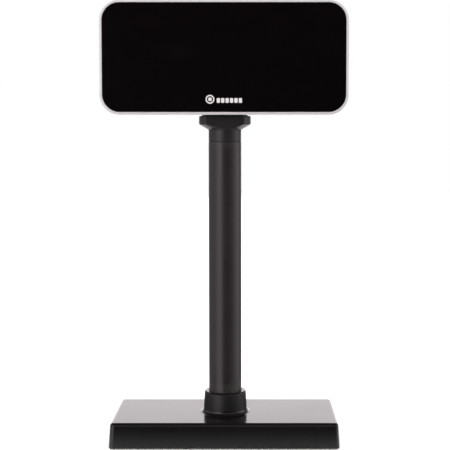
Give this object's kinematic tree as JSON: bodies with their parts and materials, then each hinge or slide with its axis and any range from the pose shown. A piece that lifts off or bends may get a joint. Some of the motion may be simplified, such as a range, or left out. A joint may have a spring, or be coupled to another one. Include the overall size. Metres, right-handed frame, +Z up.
{
  "type": "customer pole display",
  "caption": "Customer read-out for a till: wide head with a dark window that tilts and turns on a round pole set in a weighted rectangular base.",
  "frame": {"origin": "on the floor under the rubber feet, on the axis of the pole", "axes": "+Z up along the pole, the display window faces -Y, +X to the right of a person who reads it"},
  "size_m": [0.2208, 0.09, 0.3973],
  "materials": {
    "base_plastic": "smooth moulded, semi-gloss black",
    "neck_plastic": "finely textured satin black",
    "rear_plastic": "finely textured satin black",
    "pole_paint": "satin black powder coat",
    "bezel_silver": "silver paint on a moulded frame",
    "window_gloss": "polished dark acrylic",
    "plated_steel": "zinc plated",
    "screw_steel": "zinc plated",
    "spring_steel": "oiled spring steel",
    "cast_ballast": "as cast",
    "foot_rubber": "moulded rubber",
    "gasket_foam": "closed-cell foam tape",
    "lead_jacket": "extruded jacket",
    "circuit_board": "green solder mask",
    "chip_plastic": "moulded packages",
    "connector_plastic": "natural nylon",
    "port_plastic": "moulded black",
    "bush_plastic": "black acetal",
    "brass_parts": "plated brass",
    "display_glass": "sealed display glass"
  },
  "bodies": {
    "base": {"base_cover": "base_plastic", "base_plate": "plated_steel", "ballast_left": "cast_ballast", "ballast_right": "cast_ballast", "ballast_screws": "screw_steel", "base_screws": "screw_steel", "rubber_feet": "foot_rubber", "pole_foot": "plated_steel", "pole_foot_screws": "screw_steel", "pole_screws": "screw_steel", "pole_tube": "pole_paint", "port_board": "circuit_board", "board_standoffs": "brass_parts", "board_screws": "screw_steel", "data_socket": "port_plastic", "socket_contacts": "brass_parts", "lead_header": "connector_plastic", "pole_lead": "lead_jacket", "inline_connector": "connector_plastic", "swivel_bush": "bush_plastic"},
    "neck": {"neck_shell": "neck_plastic", "neck_cap": "neck_plastic", "spindle": "plated_steel", "stop_pin": "screw_steel", "swivel_springs": "spring_steel", "spindle_nut": "plated_steel", "tilt_bracket": "plated_steel", "bracket_screws": "screw_steel"},
    "head": {"bezel": "bezel_silver", "window": "window_gloss", "window_gasket": "gasket_foam", "display_glass": "display_glass", "glass_pads": "gasket_foam", "display_board": "circuit_board", "display_screws": "screw_steel", "display_parts": "chip_plastic", "display_header": "connector_plastic", "head_plug": "connector_plastic", "head_lead": "lead_jacket", "rear_cover": "rear_plastic", "hinge_housing": "rear_plastic", "cover_screws": "screw_steel", "hinge_frame": "plated_steel", "hinge_frame_screws": "screw_steel", "hinge_pin": "screw_steel", "friction_washers": "bush_plastic", "hinge_springs": "spring_steel", "lock_nut": "screw_steel"}
  },
  "joints": [
    {"name": "swivel", "type": "hinge", "parent": "base", "child": "neck", "pos_m": [0, 0, 0.2726], "axis": [0, 0, 1], "range_deg": [-165, 165]},
    {"name": "tilt", "type": "hinge", "parent": "neck", "child": "head", "pos_m": [0, 0, 0.3225], "axis": [-1, 0, 0], "range_deg": [0, 35], "deforming": ["head_lead"]}
  ]
}
